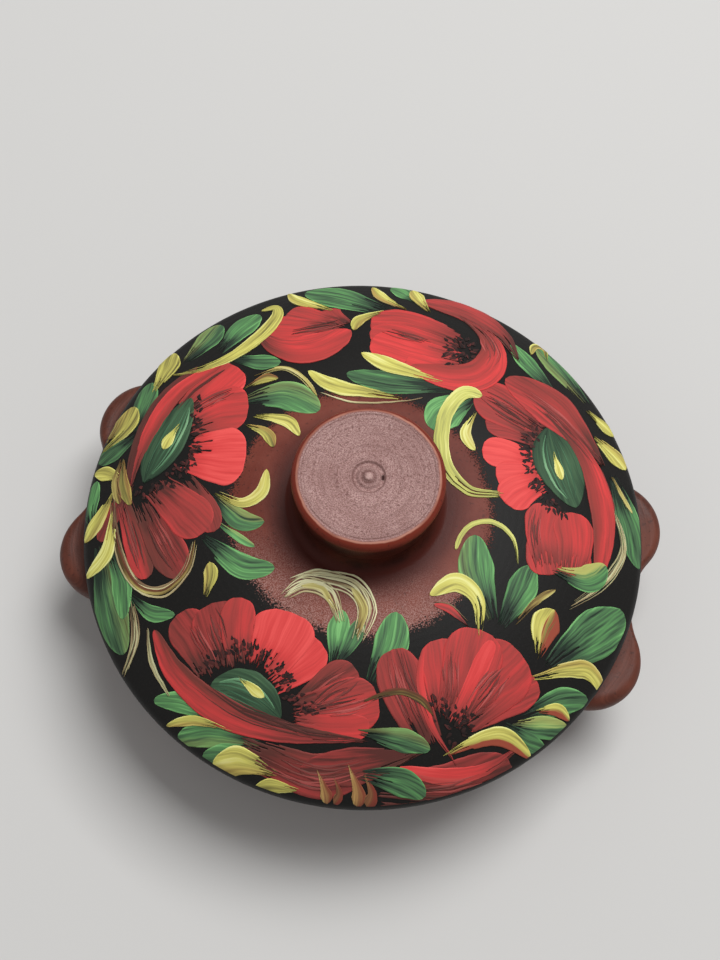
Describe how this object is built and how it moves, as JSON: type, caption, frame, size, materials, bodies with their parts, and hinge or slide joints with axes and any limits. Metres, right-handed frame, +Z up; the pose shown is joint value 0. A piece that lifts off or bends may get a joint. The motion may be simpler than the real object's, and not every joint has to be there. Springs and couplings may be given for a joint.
{
  "type": "tagine pot",
  "caption": "Round clay tagine: shallow dish with a foot ring and lobed ear handles, under a low domed lid with a drum knob, painted with a folk flower wreath on black.",
  "frame": {"origin": "middle of the dish's foot, on the surface that the pot stands on", "axes": "+Z up along the axis that dish, lid and knob were thrown on; +X towards one ear, -X towards the other"},
  "size_m": [0.278, 0.26, 0.1235],
  "materials": {
    "dish_clay": "matt red-brown clay",
    "lid_painted": "matt black paint over clay",
    "knob_clay": "satin red-brown clay"
  },
  "bodies": {
    "dish": {"base_dish": "dish_clay", "ear_right": "dish_clay", "ear_left": "dish_clay"},
    "lid": {"lid_shell": "lid_painted", "lid_knob": "knob_clay"}
  },
  "joints": [
    {"name": "lid_lift", "type": "slide", "parent": "dish", "child": "lid", "axis": [0, 0, 1], "range_m": [0, 0.16]}
  ]
}
